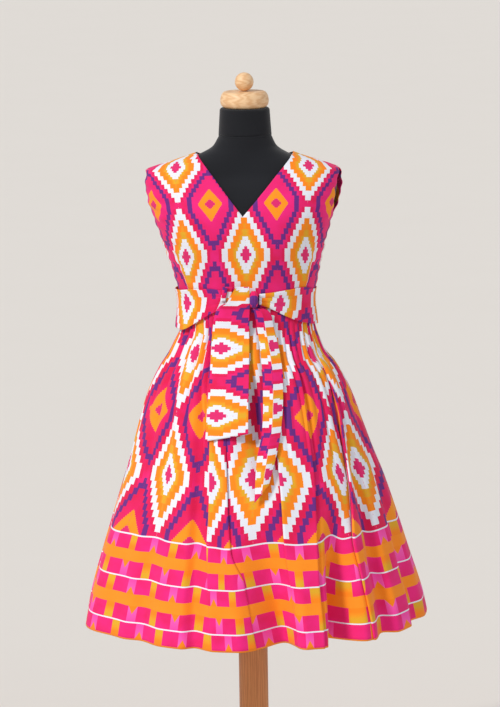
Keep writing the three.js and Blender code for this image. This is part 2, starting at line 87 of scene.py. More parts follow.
FIGURE = table("z half front back bluntness centre_x", [
    (870, 146, 104, 108, 1, 0), (940, 150, 110, 114, 1, 0), (1004, 141, 104, 100, 1, 0),
    (1050, 131, 96, 89, 1, 0), (1100, 129, 94, 85, 1, 0), (1142, 139, 98, 86, 0.97, -1),
    (1183, 150, 104, 90, 0.93, -3), (1230, 163, 110, 95, 0.88, -5), (1275, 177, 112, 98, 0.84, -6),
    (1310, 187, 104, 97, 0.82, -7), (1340, 191, 88, 88, 0.82, -7), (1365, 190, 68, 72, 0.84, -6),
    (1371, 176, 66, 69, 0.85, -6), (1386, 131, 61, 63, 0.9, -4), (1400, 91, 57, 58, 0.97, -3),
    (1416, 64, 54, 54, 1, -1), (1435, 52.5, 52.5, 52.5, 1, 0),
])
SKIRT = table("z half front back centre_x", [
    (1100, 129, 94, 85, 0), (1068, 130.5, 96, 87, 0), (1048, 133, 100, 91, 0),
    (1022, 143, 112, 106, -2), (1000, 153, 125, 119, -3), (971, 174, 147, 141, -1),
    (923, 199, 176, 169, 0), (858, 223, 207, 199, 1), (809, 239, 228, 219, 3),
    (744, 262, 252, 243, 6), (663, 288, 281, 270, 7), (598, 308, 303, 291, 7),
    (500, 337, 331, 318, 8), (466, 344, 338, 325, 8),
])
HANG = table("z half front", [
    (1150, 152, 112), (1128, 151, 110.5), (1110, 150, 109.5), (1098, 149, 106.5),
    (1060, 150, 107), (1022, 156, 122), (1000, 168, 135), (971, 188, 157),
    (923, 214, 186), (858, 238, 217), (744, 274, 262),
])
GATHER_MAP = table("hem waist", [
    (-90, -90), (-55, -60), (-19.5, -32), (-0.7, -20), (16, 20), (24, 37), (45, 60),
    (90, 90), (130, 126), (180, 180), (230, 234), (270, 270),
])
VALLEYS = [
    # centre, half width, depth, lean, start
    (-90, 9, 30, 0, 0.3), (-68, 15, -17, 0, 0.3), (-42, 9, 14, -1, 0.2), (-20, 6, 18, -1.5, 0.1),
    (5.5, 11.5, 72, 5.5, 0.58), (31, 8, 88, -4, 0.58), (48, 7, 26, 2, 0.12),
    (70, 8, 18, -1, 0.25), (110, 9, 34, 2, 0.15), (134, 8, 52, -3, 0.08),
    (160, 10, 40, 3, 0.1), (186, 8, 56, -3, 0.08), (210, 9, 30, 2, 0.15),
    (233, 8, 44, 3, 0.1), (250, 8, 20, -1, 0.2), (270, 9, 30, 0, 0.3),
]

# The creases between the gathers: place at the hem, sideways drift, depth and the drop where
# the gather has faded.
FRONT_CREASES = table("hem drift depth end", [
    (-90, 0, 0.4, 0.3), (-79, 0, 0.9, 0.5), (-68, 1, 0.8, 0.42),
    (-58, 3, 1.1, 0.5), (-47, 5, 1.2, 0.55), (-34, 4, 1.3, 0.6),
    (-27, 9, 1.35, 0.66), (-20, 5, 0.7, 0.4), (-13, 3, 1.0, 0.5), (-5, 1, 1.1, 0.55),
    (2.7, 0, 0.8, 0.45), (8, 0, 1.2, 0.5), (12.4, 0, 0.9, 0.4), (16.3, 0, 1.2, 0.5),
    (19.3, 0, 0.9, 0.36), (22.5, 0, 1.2, 0.48), (26, 0, 1.3, 0.6), (31, 0, 0.8, 0.4),
    (36, 0, 1.1, 0.5), (42, 0, 1.3, 0.58), (51, 0, 1.1, 0.5),
    (62, 0, 0.6, 0.3), (74, 0, 1.0, 0.5), (90, 0, 0.4, 0.3),
])
BACK_CREASES = table("hem drift depth end", [
    (90, 0, 0.4, 0.3), (98, 0, 0.9, 0.45), (105, 1, 1.2, 0.56), (112, 2, 0.7, 0.36),
    (120, 0, 1.1, 0.5), (127, -2, 1.3, 0.62), (134, 0, 0.8, 0.4), (140, 1, 1.0, 0.5),
    (147, 2, 1.3, 0.6), (155, 0, 0.8, 0.38), (162, 0, 1.1, 0.52), (170, 1, 1.2, 0.58),
    (177, 0, 0.7, 0.4), (184, -1, 1.2, 0.6), (191, 0, 0.9, 0.44), (199, 0, 1.3, 0.6),
    (206, 2, 0.8, 0.4), (214, 0, 1.0, 0.5), (222, -2, 1.3, 0.6), (229, 0, 0.8, 0.38),
    (237, 0, 1.1, 0.55), (245, 1, 1.2, 0.5), (254, 0, 0.8, 0.42), (262, 0, 0.9, 0.5),
    (270, 0, 0.4, 0.3),
])
GATHER_DEPTH = table("drop depth", [
    (0, 1), (0.05, 1.8), (0.09, 3.8), (0.15, 6.2), (0.3, 6.4), (0.5, 4.4), (0.75, 1.2), (1, 0.4),
])
# A ridge's roundness and the level that counts as its foot, and the parts of a crease's end
# between which it fades.
RIDGE_POWER, RIDGE_FOOT, CREASE_FADE = 0.75, 0.62, (0.45, 1.25)
# The front's pressed folds, left to right: the hem angle that each one runs through.
FOLD_LINES = table("drop first second third fourth fifth", [
    (0, -12, -2.4, 15, 27, 57), (0.15, -12, -2.6, 14.9, 25, 54),
    (0.3, -12.2, -2.9, 14.3, 23.4, 48), (0.45, -12.9, -4.2, 13.3, 23.2, 44.3),
    (0.6, -14, -5.6, 12.5, 21.8, 39.8), (0.7, -15, -5.8, 12.1, 21.2, 38),
    (0.8, -15, -2.6, 12.6, 21, 39.2), (1, -15, -2, 13.1, 21.8, 41.7),
])
# Grid columns left of the first fold, between the folds and right of the last one.
FOLD_COLUMNS = (150, 30, 40, 36, 60, 84)
BACK_COLUMNS, SKIRT_ROWS = 330, 110
# Drops whose section decides how dense the columns are, each with its weight, and the drop at
# which the back's cloth is measured.
DENSITY_DROPS, BACK_MEASURE = ((1.0, 1.0), (0.25, 1.2)), 0.7
FOLDS = [
    # side on top (1 is +X), start, height halfway down, height at the hem
    (1, 0.26, 5.5, 0.3), (-1, 0.26, 6, 2), (1, 0.18, 7, 4), (-1, 0.08, 7, 6), (1, 0.12, 9, 4),
]
# A fold's edge: the radius that it rolls under at, the reach of its rise, of the sideways lean
# in hem degrees and of the lower side's sinking, and the height at which it has its full form.
FOLD = {"roll": 2.4, "reach": 16, "lean": 0.5, "lean_reach": 4, "sink": 0.3, "sink_reach": 7,
        "full": 4}
# The hollow between the sash's two ends.
HOLLOW = {"hem": 8, "half_width": 5, "depth": 24}

# The print, in millimetres of cloth: a diamond's repeat across and down, and the hem's place.
MOTIF_WIDTH, MOTIF_HEIGHT, PRINT_HEM = 133, 250, -331.5
# The hem angle of each diamond's middle, left to right, the cloth that each fold but the fourth
# hides, and the place of the left seam.
PRINT_PLACES = table("drop gem left_2 left_1 middle right_1 right_2 right_3 "
                     "first second third fifth seam", [
    (0, -60, -37.5, -11, 6, 12.7, 47.5, 61, 35, 53, 87, 67, -380),
    (0.13, -59, -37.75, -11, 6, 12.7, 47, 60, 35, 53, 87, 67, -385),
    (0.3, -55, -38.6, -11.2, 6, 12.5, 39.8, 54.5, 35, 53, 87, 67, -408),
    (0.5, -54, -39.6, -12.4, 5.75, 12.25, 37.25, 52.9, 35, 53, 87, 67, -432),
    (0.69, -60, -42, -14.5, 2.4, 12.1, 36.75, 53.9, 30, 44, 87, 67, -448),
    (0.8, -61, -43, -14.8, 2.6, 12.4, 37, 54.5, 14, 28, 87, 70, -452),
    (1, -62, -44.3, -15.2, 3, 13, 37.2, 56, 0, 20, 87, 74, -456),
])
# Each diamond's place along its row, in repeats.
DIAMONDS = {"gem": -2.5, "left_2": -2, "left_1": -1, "middle": 0, "right_1": 1, "right_2": 2,
            "right_3": 3}
PRINT_END = 487
BODICE_PRINT = table("z v width centre", [
    (1091, -125, 1.1, -2), (1210, 0, 1.08, -2), (1311, 125, 1.03, -6), (1379, 250, 1, -7),
    (1400, 300, 1, -7),
])
# How far the bodice's rows rise one diamond from the middle.
PRINT_SAG = 8

SASH_LEFT = table("angle bottom top loose", [
    (-89.8, 1052, 1128, 5), (-67, 1051, 1131, 5), (-45, 1072, 1137, 1), (-31, 1090, 1139, 0),
    (-12, 1103, 1134, 0), (1, 1109, 1130, 0),
])
SASH_RIGHT = table("angle bottom top loose", [
    (9.4, 1109, 1129, 0), (20, 1098, 1131, 0), (35, 1080, 1134, 0), (50, 1067, 1136, 0),
    (75, 1056, 1127, 0), (89.8, 1054, 1126, 0),
])
SASH_BACK = table("angle bottom top loose", [
    (90.2, 1054, 1126, 0), (180, 1058, 1132, 0), (235, 1055, 1130, 1), (269.8, 1052, 1128, 5),
])
SASH_OUT = table("z out", [(1050, 6.8), (1075, 5), (1100, 3.4), (1126, 1.45), (1140, 1.15)])
SASH_PLEATS = {"count": 3, "depth": 1.6, "centre": 5, "reach": 60}
WIDE_END = table("row left_z left_x right_z right_x", [
    (0, 1146, -22, 1146, 3), (1, 1128, -34, 1128, 4), (2, 1116, -40, 1117, 4),
    (3, 1105, -57, 1106, 4), (4, 1085, -66, 1086, 3), (5, 1058, -70, 1059, 2),
    (6, 1026, -73, 1028, 2), (7, 996, -75, 1000, 1), (8, 965, -78, 971, 0),
    (9, 911, -83, 921, -2), (10, 857, -87, 872, -3),
])
NARROW_END = table("row left_z left_x right_z right_x", [
    (0, 1102, 10, 1102, 30), (1, 1092, 13, 1092, 44), (2, 1060, 18, 1060, 51),
    (3, 1031, 22, 1031, 58), (4, 1000, 25, 1000, 64), (5, 970, 27, 970, 67),
    (6, 925, 27, 928, 66), (7, 875, 24, 885, 62), (8, 818, 12, 846, 55), (9, 746, 7, 776, 35),
])
# Columns, rows, the crease's height and the waves' height.
WIDE_FORM, NARROW_FORM = (60, 150, 0, 0.8), (44, 170, 5, 0.6)
# Print on the ends: its place along at the top edge and across at the left one, its shrinkage
# along, and the width that the narrow end folds away at its crease.
WIDE_PRINT = {"along": 255.7, "across": -19.5, "scale": 0.937}
NARROW_PRINT = {"along": 80, "across": -24, "scale": 1, "folded": 55}
# The height that the print on the sash's stretches is centred on.
SASH_MIDDLE = 1106
KNOT = {"x": 12, "z": 1120, "rx": 7.7, "ry": 11, "rz": 17.5, "gap": 0.4}
LOOP = {"back": -34, "fold": -53, "front": -44, "bottom": 1117, "top": 1145, "lean": 5,
        "turn": 3, "gap": 0.9}


# ---- numbers ----

def column(tab, name, key):
    """A column at a key in the first one: cubic between rows, without overshoot."""
    x, y = next(iter(tab.values())), tab[name]
    slope = np.diff(y) / np.diff(x)
    before, after = slope[:-1], slope[1:]
    total = np.where(before + after == 0, 1, before + after)
    inner = np.where(before * after <= 0, 0, 2 * before * after / total)
    tangent = np.concatenate([slope[:1], inner, slope[-1:]])
    key = np.clip(key, x[0], x[-1])
    i = np.clip(np.searchsorted(x, key, side="right") - 1, 0, len(x) - 2)
    width = x[i + 1] - x[i]
    t = (key - x[i]) / width
    bend = t * t * (3 - 2 * t)
    rise = t * (1 - t) * ((1 - t) * tangent[i] - t * tangent[i + 1]) * width
    return y[i] * (1 - bend) + y[i + 1] * bend + rise


def part(x, low, high):
    """How far x has come from low to high, from 0 to 1."""
    return np.clip((x - low) / (high - low), 0, 1)


def smoothstep(x, low, high):
    t = part(x, low, high)
    return t * t * (3 - 2 * t)


def mixed(a, b, t):
    return a + (b - a) * t


def oval(angle, half, front, back, z, bluntness=1.0, centre_x=0.0):
    """x = centre + half * sin(a)^b and y = -depth * cos(a)^b, with the sign of sin and cos kept."""
    a = np.radians(angle)
    depth = np.where(np.cos(a) > 0, front, back)
    x = centre_x + half * np.sign(np.sin(a)) * np.abs(np.sin(a)) ** bluntness
    y = -depth * np.sign(np.cos(a)) * np.abs(np.cos(a)) ** bluntness
    return np.stack(np.broadcast_arrays(x, y, z), -1)


def figure(angle, z, out=0.0, drop=0.0):
    """The body's section at height z, grown by out, with a rounded bust in front."""
    angle, z = np.broadcast_arrays(np.asarray(angle, float), np.asarray(z, float))
    key = z + drop * smoothstep(z, UNDERARM, SHOULDER_TIP)
    half, front, back = (column(FIGURE, name, key) + out for name in ("half", "front", "back"))
    centre_x = column(FIGURE, "centre_x", key)
    point = oval(angle, half, front, back, z, column(FIGURE, "bluntness", key), centre_x)
    dx = (np.abs(point[..., 0] - centre_x) - BUST["x"]) / BUST["width"]
    dz = (z - BUST["z"]) / BUST["height"]
    facing = np.sqrt(np.maximum(0, np.cos(np.radians(angle))))
    point[..., 1] -= BUST["depth"] * np.exp(-dx * dx - dz * dz) * facing
    return point


def angle_at(x, z):
    """The angle at which the body's section is at a given x."""
    from_centre = x - column(FIGURE, "centre_x", z)
    share = np.minimum(1, np.abs(from_centre) / column(FIGURE, "half", z))
    angle = np.degrees(np.arcsin(share ** (1 / column(FIGURE, "bluntness", z))))
    return np.sign(from_centre) * angle


def path_length(points, axis):
    """Length along one axis of a grid of points, from its first row or column."""
    step = np.linalg.norm(np.diff(points, axis=axis), axis=-1)
    zero = np.zeros_like(np.take(step, [0], axis))
    return np.concatenate([zero, np.cumsum(step, axis)], axis)


# ---- meshes ----

def new_object(name, points, faces, cloth=None):
    """An object from points in millimetres and faces, with a map of its cloth in metres."""
    mesh = bpy.data.meshes.new(name)
    mesh.from_pydata((points * MM).tolist(), [], faces)
    if cloth is not None:
        layer = mesh.uv_layers.new(name="cloth")
        corners = np.empty(len(mesh.loops), np.int32)
        mesh.loops.foreach_get("vertex_index", corners)
        layer.data.foreach_set("uv", cloth[corners].astype(np.float32).ravel())
    mesh.polygons.foreach_set("use_smooth", np.ones(len(mesh.polygons), bool))
    mesh.update()
    obj = bpy.data.objects.new(name, mesh)
    bpy.context.scene.collection.objects.link(obj)
    return obj


def grid_quads(rows, columns, start=0, wraps=False):
    i = np.arange(rows * columns).reshape(rows, columns) + start
    if wraps:
        i = np.concatenate([i, i[:, :1]], 1)
    corners = (i[:-1, :-1], i[:-1, 1:], i[1:, 1:], i[1:, :-1])
    return np.stack([c.ravel() for c in corners], 1)


def cloth_piece(node, grids, cloths, thickness):
    """A thin cloth wall in a solid's place, round the middle surface that the grids give. Grids
    join where they touch, and the wall's two faces lie half its thickness to each side."""
    points = np.concatenate([g.reshape(-1, 3) for g in grids])
    cloth = np.concatenate([c.reshape(-1, 2) for c in cloths])
    starts = np.cumsum([0] + [g.shape[0] * g.shape[1] for g in grids])
    quads = np.concatenate([grid_quads(*g.shape[:2], s) for g, s in zip(grids, starts)])
    if len(grids) > 1:
        microns = np.round(points * 1e3).astype(np.int64)
        _, first, index = np.unique(microns, axis=0, return_index=True, return_inverse=True)
        points, cloth, quads = points[first], cloth[first], index.ravel()[quads]
    obj = new_object(f"{node}_cloth", points, quads.tolist(), cloth)
    wall = obj.modifiers.new("cloth wall", "SOLIDIFY")
    wall.thickness = thickness
    wall.offset = 0
    return placed(obj, node)


def closed_rings(name, rings, node):
    """Rings from bottom to top with a point closing each end, in a solid's place."""
    rows, sides = rings.shape[:2]
    ends = np.stack([rings[0].mean(0), rings[-1].mean(0)])
    faces = grid_quads(rows, sides, wraps=True).tolist()
    last = (rows - 1) * sides
    for i in range(sides):
        j = (i + 1) % sides
        faces += [[rows * sides, j, i], [rows * sides + 1, last + i, last + j]]
    return placed(new_object(name, np.concatenate([rings.reshape(-1, 3), ends]), faces), node)


def revolved(name, profile, sides, node):
    """Rings of a profile's radius and height round the Z axis, with its two ends closed."""
    radius, z = np.array(profile, float).T[..., None]
    turn = np.linspace(0, 2 * np.pi, sides, endpoint=False)
    rings = [radius * np.sin(turn), -radius * np.cos(turn), z + 0 * turn]
    return closed_rings(name, np.stack(rings, -1), node)


def arc_profile(radius, z, size, first=0, last=90, count=10):
    """Profile points along a round edge of a size, from one angle to another, round a centre."""
    return [(radius + size * math.cos(a), z + size * math.sin(a))
            for a in np.radians(np.linspace(first, last, count))]


def placed(obj, node):
    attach(obj, "root")
    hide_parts(node)
    return obj


def finished(obj, material):
    obj.data.materials.clear()
    obj.data.materials.append(material)


# ---- bodice ----

def outer_angle(z, reach):
    t = part(z, UNDERARM, SHOULDER_TIP)
    return 90 - reach * np.maximum(0, np.sin(np.pi * t)) ** 0.55


def front_neck_angle(z, side):
    """The V's edge on one side (1 or -1), straight as seen from the front."""
    x = mixed(V_SHIFT, side * NECK_HALF, np.maximum(0, z - V_BOTTOM) / (NECK_POINT - V_BOTTOM))
    return np.minimum(90 - NECK_POINT_ANGLE, side * angle_at(x, z))


def back_neck_angle(z, side):
    """A quarter oval from the centre back to the neck point."""
    t = part(z, BACK_NECK, NECK_POINT)
    angle = side * angle_at(side * NECK_HALF * np.sqrt(1 - (1 - t) ** 2), z)
    return np.where(t > 0, np.clip(angle, 0, 90 - NECK_POINT_ANGLE), 0)


def bodice_heights():
    body = np.linspace(WAIST_SEAM + WAIST_GAP / 2, UNDERARM, 64)
    armhole = np.linspace(UNDERARM, SHOULDER_TIP, 44)[1:]
    shoulder = np.linspace(SHOULDER_TIP, NECK_POINT, 26)[1:]
    return np.concatenate([body, armhole, shoulder])[:, None]


def bodice_half(neck_angle, is_front, side, reach, gape=0.0):
    """Half a panel: the angle runs from the neck edge to the side seam, armhole and shoulder.
    A groove marks the dart, and the armhole's edge stands off the body by the gape."""
    z = bodice_heights()
    outer = outer_angle(z, reach)
    angle = mixed(neck_angle(z, side), outer, np.linspace(0, 1, 72))
    turn = side * (angle if is_front else 180 - angle)
    point = figure(turn, z, WALL / 2)
    normal = point * [1, 1, 0]
    normal /= np.linalg.norm(normal, axis=-1, keepdims=True)
    dart = smoothstep(DART["top"] - z, 0, DART["top"] - WAIST_SEAM)
    away = (angle - DART["angle"]) / DART["half_width"]
    groove = DART["depth"] * dart ** 0.5 * np.exp(-away * away)
    height = part(z, UNDERARM, SHOULDER_TIP)
    edge = gape * np.exp((angle - outer) / GAPE_REACH) * np.sin(np.pi * height) ** 0.6
    point += normal * (wrinkles(turn, z) - groove + edge)[..., None]
    point[..., 1] += -SEAM_SHIFT if is_front else SEAM_SHIFT
    cloth = bodice_print(z, angle, dart, side, is_front)
    if is_front != (side > 0):
        point, cloth = point[:, ::-1], cloth[:, ::-1]
    return point, cloth


def bodice_print(z, angle, dart, side, is_front):
    """The printed cloth: the length round the body from the middle, moved on beyond the dart by
    what the dart takes up, in rows that rise with the square of that length."""
    middle = side * angle_at(column(BODICE_PRINT, "centre", z), z) if is_front else 0 * z
    fine = np.linspace(-20, 90, 441)
    length = path_length(figure(side * (fine if is_front else 180 - fine), z), 1)
    u = np.array([np.interp(a, fine, row) - np.interp(m, fine, row)
                  for a, m, row in zip(angle, middle, length)])
    u = u * column(BODICE_PRINT, "width", z)
    u = u + DART["cloth"] * dart * smoothstep(angle, DART["angle"] - 1, DART["angle"] + 1)
    waver = np.sin(z / PUCKER["rise"]) * smoothstep(angle, PUCKER["start"], PUCKER["full"])
    u = u + PUCKER["cloth"] * waver
    v = column(BODICE_PRINT, "v", z) + PRINT_SAG * np.minimum(1.5, (u / MOTIF_WIDTH) ** 2)
    return np.stack([side * u, v], -1) * MM


def wrinkles(angle, z):
    """Soft pulls that lean down from the armhole to the waist: sines of angle plus height,
    strongest at the sides and at the waist."""
    a = np.radians(angle)
    side = smoothstep(np.abs(np.sin(a)), 0.35, 1)
    low = smoothstep(1200 - z, 0, 90)
    lean = np.sin(a * 3.1 + z / 3.4) + 0.6 * np.sin(a * 5.3 - z / 6)
    vertical = np.sin(np.radians(angle * 13 + 40)) + 0.5 * np.sin(np.radians(angle * 21 + 10))
    return 0.9 * side * side * lean * (1 - 0.6 * low) + 0.5 * low * vertical


# ---- skirt ----

def skirt_valleys(hem, drop):
    """How far the large folds move the wall inwards and sideways: a squared cosine across each
    valley that grows from the drop where it starts."""
    inward, sideways = np.zeros_like(hem), np.zeros_like(hem)
    for centre, half_width, depth, lean, start in VALLEYS:
        d = (hem - centre) / half_width
        grown = smoothstep(drop, start, 1.1) ** 0.7
        shape = np.where(np.abs(d) < 1, np.cos(np.pi / 2 * np.clip(d, -1, 1)) ** 2, 0) * grown
        inward += depth * shape
        sideways += lean * shape
    return inward, sideways


def skirt_wall(hem, drop, out):
    """The skirt's section at each height, less its valleys, grown by out."""
    z = mixed(WAIST_SEAM - WAIST_GAP / 2, HEM, drop)
    angle = mixed(column(GATHER_MAP, "waist", hem), hem, drop ** 0.7)
    inward, sideways = skirt_valleys(hem, drop)
    out = out - inward
    half, front, back, centre_x = (column(SKIRT, name, z) for name in list(SKIRT)[1:])
    return oval(angle + sideways, half + out, front + out, back + out, z, 1.0, centre_x)


def crease_places(creases, drop):
    return creases["hem"] + creases["drift"] * smoothstep(drop, 0.1, 0.4)


def gather(creases, hem, drop):
    """Round ridges between sharp creases: the sine between one crease and the next, raised to
    a power below one, as deep as the creases on both sides are."""
    ridge = np.empty_like(hem)
    number = np.arange(len(creases["hem"]), dtype=float)
    for i, d in enumerate(drop[:, 0]):
        s = np.interp(hem[i], crease_places(creases, d), number)
        fade = 1 - smoothstep(d / creases["end"], *CREASE_FADE)
        depth = np.interp(s, number, creases["depth"] * fade)
        ridge[i] = depth * (np.abs(np.sin(np.pi * s)) ** RIDGE_POWER - RIDGE_FOOT)
    return ridge


def gathered_cloth(creases, hem, drop, natural, arc):
    """The printed cloth that shows: at its own scale along each ridge, with the rest of it
    hidden in the creases beside the ridge."""
    u = np.empty_like(hem)
    number = np.arange(len(creases["hem"]), dtype=float)
    for i, d in enumerate(drop[:, 0]):
        places = crease_places(creases, d)
        s = np.interp(hem[i], places, number)
        k = np.clip(s.astype(int), 0, len(number) - 2)
        t = 2 * (s - k) - 1
        ends = np.interp(places, hem[i], natural[i])
        shown = np.interp(places, hem[i], arc[i])
        full, seen = np.diff(ends)[k], np.diff(shown)[k]
        hidden = np.maximum(0, full - seen)
        packed = (ends[:-1] + ends[1:])[k] / 2 + t * (full - hidden) / 2
        packed += hidden / 2 * np.sign(t) * np.abs(t) ** 9
        strength = (1 - smoothstep(d, 0.25, 0.6)) * smoothstep(hidden, 0, 0.004)
        u[i] = mixed(natural[i], packed, strength)
    return u


def panel_places(first, last, columns):
    """Hem angles from first to last, closer together where the wall is folded."""
    even = np.linspace(first, last, 1441)[None, :]
    measure = 0
    for drop, weight in DENSITY_DROPS:
        length = path_length(skirt_wall(even, np.full_like(even, drop), 0.0), 1)[0]
        measure = measure + weight * length / length[-1]
    return np.interp(np.linspace(0, measure[-1], columns), measure, even[0])


def fold_columns(drop):
    """Columns that run beside the folds, two at each fold, and the number of folds to the left
    of each column. Between two folds the columns are denser at both ends."""
    lines = [column(FOLD_LINES, name, drop) for name in list(FOLD_LINES)[1:]]
    edges = [0 * drop - 90, *lines, 0 * drop + 90]
    hem, number = [], []
    for k, count in enumerate(FOLD_COLUMNS):
        low, high = edges[k], edges[k + 1]
        share = panel_places(low[0, 0], high[0, 0], count)
        share = (share - share[0]) / (share[-1] - share[0])
        share = share - 0.8 * np.sin(2 * np.pi * share) / (2 * np.pi)
        hem.append(mixed(low, high, share))
        number += [k] * count
    return np.concatenate(hem, 1), np.array(number)


def raised_folds(number, drop, arc):
    """How far each fold lifts the wall and moves it sideways: the upper side stands out by the
    fold's height, which dies away over its reach and rolls under at the edge, and the lower
    side sinks a little."""
    lift, shift = np.zeros_like(arc), np.zeros_like(arc)
    radius = FOLD["roll"]
    for k, (side, start, middle, hem_height) in enumerate(FOLDS):
        edge = np.searchsorted(number, k + 1)
        away = np.abs(arc - arc[:, edge:edge + 1])
        upper = (number > k) if side > 0 else (number <= k)
        grown = smoothstep(drop, start, start + 0.2)
        height = mixed(middle, hem_height, smoothstep(drop, 0.6, 0.95)) * grown
        form = np.minimum(1, height / FOLD["full"])
        roll = radius - np.sqrt(np.maximum(0, radius ** 2 - np.maximum(0, radius - away) ** 2))
        top = height * np.exp(-away / FOLD["reach"]) - roll * form
        lift += np.where(upper, top, -FOLD["sink"] * height * np.exp(-away / FOLD["sink_reach"]))
        lean = side * FOLD["lean"] * np.exp(-away / FOLD["lean_reach"]) * form
        shift -= np.where(upper, lean, 0)
    return lift, shift


def front_print(hem, number, drop):
    """The front's printed cloth: its width at each hem angle as if no fold hid any, and what
    the folds between there and the centre front add."""
    at = {name: column(PRINT_PLACES, name, drop[:, 0]) for name in PRINT_PLACES}
    second, third = at["second"], at["third"]
    none, left, right = 0 * third, at["first"] + second, third + at["fifth"]
    added = {"gem": left, "left_2": left, "left_1": second, "middle": none, "right_1": -third,
             "right_2": -third, "right_3": -right}
    places = [none - 90, *(at[name] for name in added), none + 90]
    widths = [at["seam"] + left, *(DIAMONDS[name] * MOTIF_WIDTH + a for name, a in added.items()),
              PRINT_END - right]
    rows = zip(hem, np.stack(places, 1), np.stack(widths, 1))
    plain = np.array([np.interp(row, place, width) for row, place, width in rows])
    folds = np.stack([-left, -second, none, third, third, right], 1)[:, number]
    return plain * MM, folds * MM


def skirt_panel(first, last, creases, seam_shift):
    """The gathered wall from one hem angle to the other, with the front's folds raised on it."""
    drop = np.linspace(0, 1, SKIRT_ROWS)[::-1, None] ** 1.25
    is_front = first < 0
    if is_front:
        hem, number = fold_columns(drop)
    else:
        hem = panel_places(first, last, BACK_COLUMNS) + 0 * drop
    drop = np.broadcast_to(drop, hem.shape)
    plain = skirt_wall(hem, drop, 0.0)
    arc = path_length(plain, 1)
    lift, shift, hidden = 0, 0, 0
    if is_front:
        lift, shift = raised_folds(number, drop, arc)
        natural, hidden = front_print(hem, number, drop)
    else:
        natural = path_length(skirt_wall(hem, np.full_like(drop, BACK_MEASURE), 0.0), 1) * MM
    out = column(GATHER_DEPTH, "depth", drop) * gather(creases, hem, drop) + WALL / 2
    point = skirt_wall(hem + shift, drop, out + soft_swell(hem, drop) + lift)
    point[..., 1] += seam_shift
    u = gathered_cloth(creases, hem, drop, natural, arc * MM) + hidden
    v = (PRINT_HEM + path_length(plain, 0)) * MM
    return point, np.stack([u, v], -1)


def soft_swell(hem, drop):
    """Slow waves of the cloth between the large folds, strongest halfway down, and a hollow
    with a bell's section between the sash's two ends."""
    wave = np.sin(np.radians(hem * 5.0) + 3 * drop)
    wave = wave + 0.7 * np.sin(np.radians(hem * 8.0) - 5 * drop + 1)
    away = (hem - HOLLOW["hem"]) / HOLLOW["half_width"]
    hollow = HOLLOW["depth"] * np.exp(-away * away) * smoothstep(drop, 0.13, 0.28)
    return 1.1 * wave * smoothstep(drop, 0.2, 0.6) - hollow * (1 - smoothstep(drop, 0.34, 0.6))


# ---- sash ----

def sash_stretch(edges, columns, is_pleated, start):
    """A band of the body's section between its lower and upper edge. Folds run along it and
    deepen towards the knot."""
    angle = np.linspace(edges["angle"][0], edges["angle"][-1], columns)
    angle, across = np.broadcast_arrays(angle, np.linspace(0, 1, 40)[:, None])
    z = mixed(column(edges, "bottom", angle), column(edges, "top", angle), across)
    near = np.maximum(0, 1 - np.abs(angle - SASH_PLEATS["centre"]) / SASH_PLEATS["reach"])
    folds = SASH_PLEATS["count"] if is_pleated else 2
    wave = np.abs(np.sin(np.pi * folds * across)) ** 0.8
    depth = SASH_PLEATS["depth"] * near if is_pleated else 0.5
    out = WALL * 1.5 + column(SASH_OUT, "out", z) + column(edges, "loose", angle)
    point = figure(angle, z, out + depth * wave)
    return point, np.stack([start + path_length(point, 1), z - SASH_MIDDLE], -1) * MM


def hanging_end(outline, form, print_on_it):
    """A strip between a left and a right edge that lies over the skirt's front. The crease
    stands out along its middle, and slow waves cross it. The cloth is measured down from the
    top edge and across from the left one."""
    columns, rows, crease, curl = form
    key = np.linspace(outline["row"][0], outline["row"][-1], rows)[::-1, None]
    key, share = np.broadcast_arrays(key, np.linspace(0, 1, columns))
    left_z, left_x, right_z, right_x = (column(outline, name, key) for name in list(outline)[1:])
    x, z = mixed(left_x, right_x, share), mixed(left_z, right_z, share)
    sine = x / column(HANG, "half", z)
    raised = crease * (1 - np.abs(2 * share - 1))
    wave = curl * (np.sin(share * 7.5 + z / 55) * 0.5 + np.sin(share * 4 - z / 38 + 2) * 0.5 + 1)
    y = -column(HANG, "front", z) * np.sqrt(1 - sine * sine) - raised - wave - WALL / 2
    point = np.stack([x, y, z], -1)
    length = path_length(point[::-1], 0)[::-1].mean(1, keepdims=True)
    down = length + z.mean(1, keepdims=True) - z
    along = print_on_it["along"] - down * print_on_it["scale"]
    across = print_on_it["across"] + x - x[:, :1] + print_on_it.get("folded", 0) * (share < 0.5)
    return point, np.stack([along, across], -1) * MM


def sash_knot():
    """A tight wrap: an oval ring in Y and Z carried along X, narrower at its two open ends,
    with creases that run round it."""
    round_, along = np.meshgrid(np.linspace(0, 2 * np.pi, 65), np.linspace(-1, 1, 33))
    size = np.sqrt(np.maximum(0.05, 1 - (np.abs(along) * 0.93) ** 3.2))
    size = size - 0.07 * (1 - np.abs(np.sin(along * 5.2 + 0.5 * np.sin(round_))) ** 0.7)
    back = figure(angle_at(KNOT["x"], KNOT["z"]), KNOT["z"], WALL)[1]
    x = KNOT["x"] + KNOT["rx"] * along
    y = back - KNOT["gap"] - KNOT["ry"] - (KNOT["ry"] - 1) * size * np.cos(round_)
    z = KNOT["z"] + (KNOT["rz"] - 1) * size * np.sin(round_)
    point = np.stack([x, y, z], -1)
    cloth = np.stack([MOTIF_WIDTH / 2 + 8 * along, 30 + 9 * np.sin(round_)], -1)
    return point, cloth * MM


